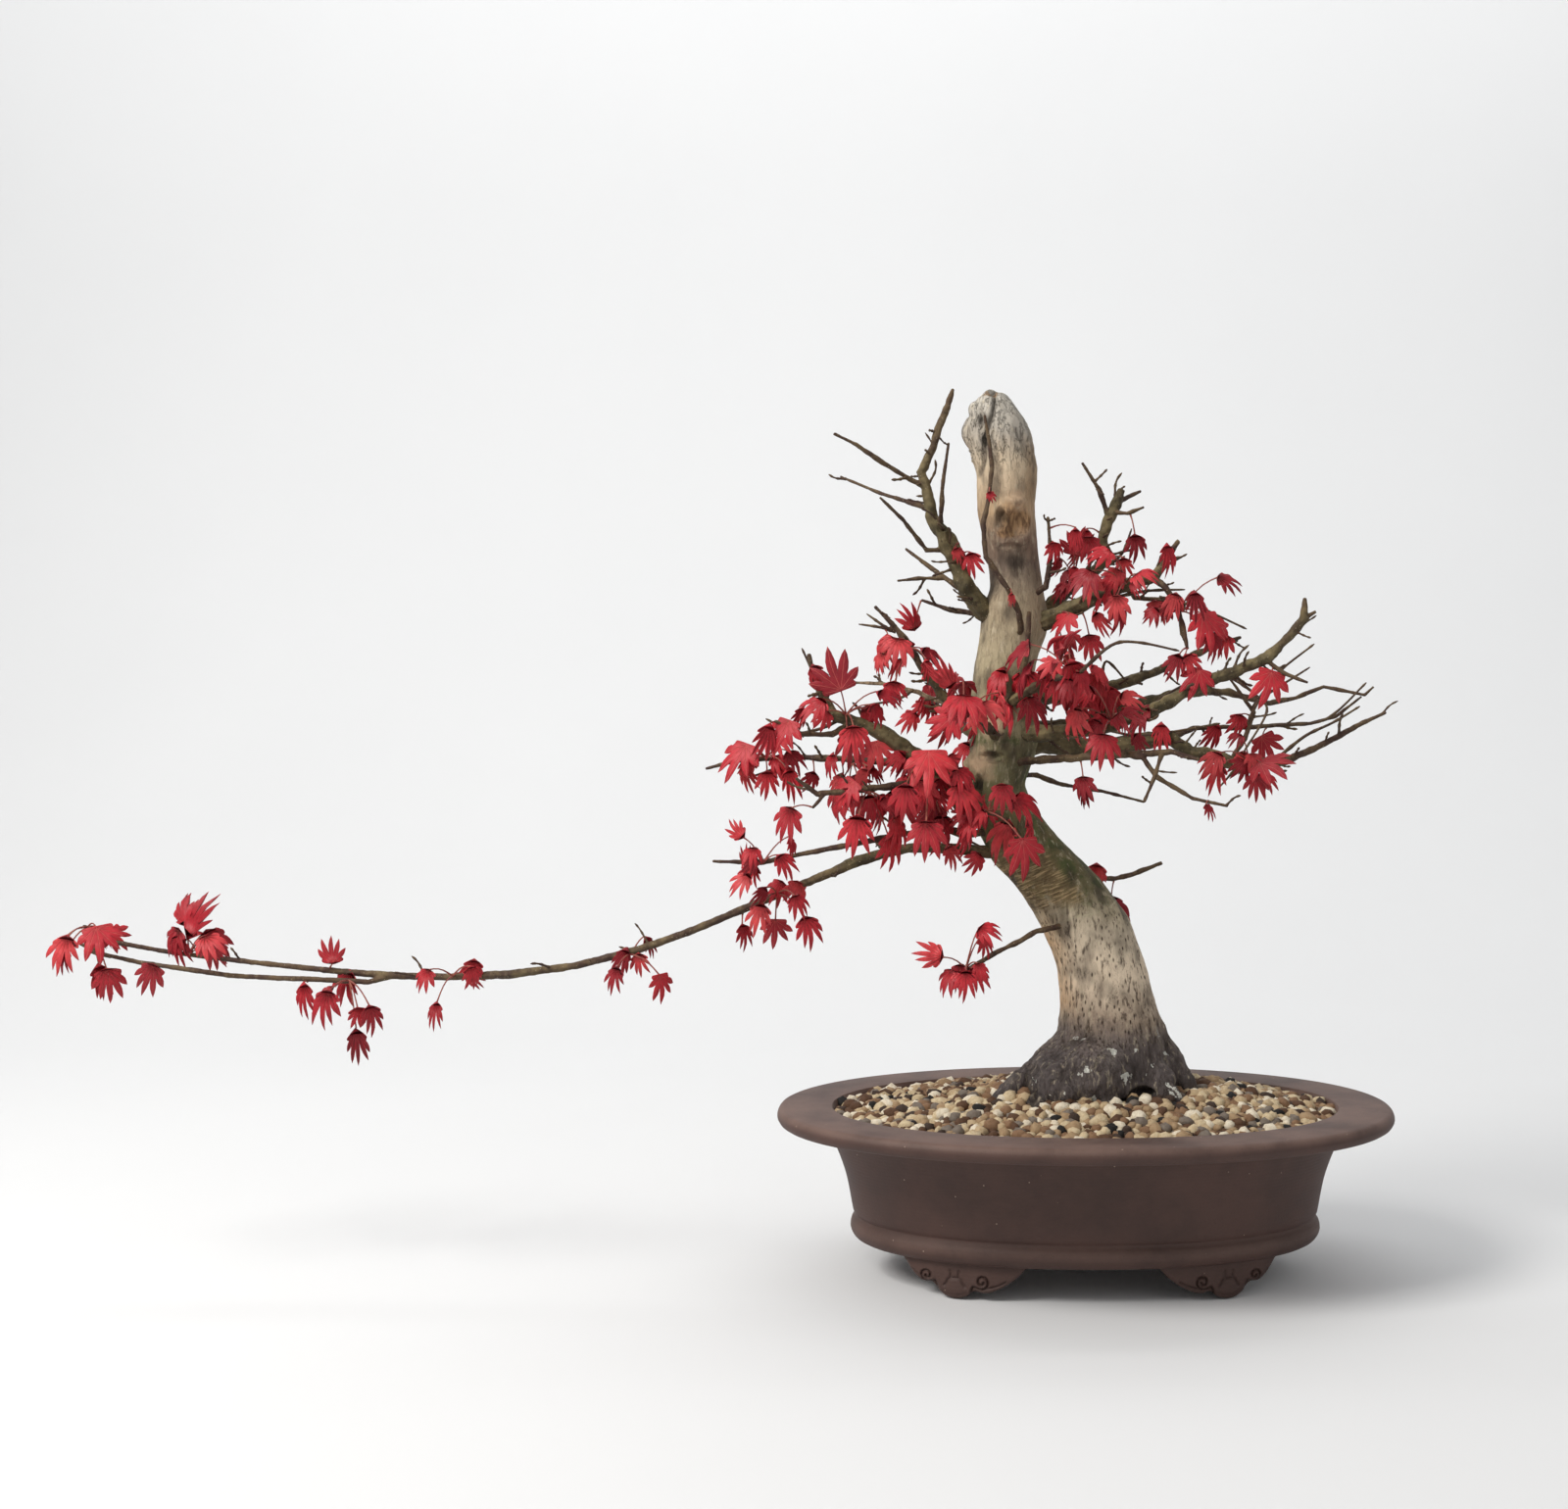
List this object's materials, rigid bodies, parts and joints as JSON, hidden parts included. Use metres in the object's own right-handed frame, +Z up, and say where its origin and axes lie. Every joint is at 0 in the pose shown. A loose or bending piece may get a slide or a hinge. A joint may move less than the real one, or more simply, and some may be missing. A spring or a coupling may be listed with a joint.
{
  "type": "maple bonsai tree in a pot",
  "caption": "Cascading red-leaved maple bonsai with a long trailing branch, growing in an oval brown clay pot on four cloud feet.",
  "frame": {"origin": "On the surface that the feet stand on, under the middle of the whole tree's box, so the pot stands to the right of it.", "axes": "+X along the pot's length, away from the trailing branch; +Y to the back; +Z up."},
  "size_m": [0.9133, 0.306, 0.6019],
  "materials": {
    "clay": "unglazed, matte with a slight burnish",
    "screen": "matte",
    "wire": "satin",
    "pumice": "rough",
    "soil": "rough",
    "gravel": "rough, mixed grains",
    "bark": "living bark",
    "twig": "young bark",
    "deadwood": "bleached",
    "leaf": "soft leaf"
  },
  "bodies": {
    "root": {"pot": "clay", "drain_screen_left": "screen", "drain_screen_right": "screen", "screen_clip_left": "wire", "screen_clip_right": "wire", "tie_wire_left": "wire", "tie_wire_right": "wire", "drainage_layer": "pumice", "soil": "soil", "gravel": "gravel", "trunk": "bark", "dead_twig": "deadwood", "trailing_branch": "twig", "upper_shoot": "twig", "left_main_branch": "twig", "left_middle_branch": "twig", "upper_left_branch": "twig", "lower_left_twig": "twig", "dark_shoot": "twig", "front_shoot": "twig", "upper_right_branch": "twig", "upper_right_low_branch": "twig", "upright_shoot": "twig", "right_main_branch": "twig", "right_back_branch": "twig", "right_front_branch": "twig", "right_rear_high_branch": "twig", "right_low_branch": "twig", "right_inner_twig": "twig", "low_left_twig": "twig", "low_right_twig": "twig", "front_left_branch": "twig", "front_right_branch": "twig", "front_low_shoot": "twig", "back_low_branch": "twig", "back_high_branch": "twig", "tip_leaves": "leaf", "trailing_leaves_a": "leaf", "trailing_leaves_b": "leaf", "trailing_leaves_c": "leaf", "trailing_leaves_d": "leaf", "trailing_leaves_e": "leaf", "shoot_leaves": "leaf", "left_crown_leaves": "leaf", "left_inner_leaves": "leaf", "left_outer_leaves": "leaf", "left_side_leaves": "leaf", "left_low_leaves": "leaf", "left_hanging_leaves": "leaf", "left_middle_leaves": "leaf", "front_left_leaves": "leaf", "front_right_leaves": "leaf", "front_low_leaves": "leaf", "upper_right_leaves": "leaf", "upper_right_low_leaves": "leaf", "hook_leaves": "leaf", "right_front_leaves": "leaf", "right_outer_leaves": "leaf", "low_left_leaves": "leaf", "back_leaves": "leaf"}
  },
  "joints": []
}
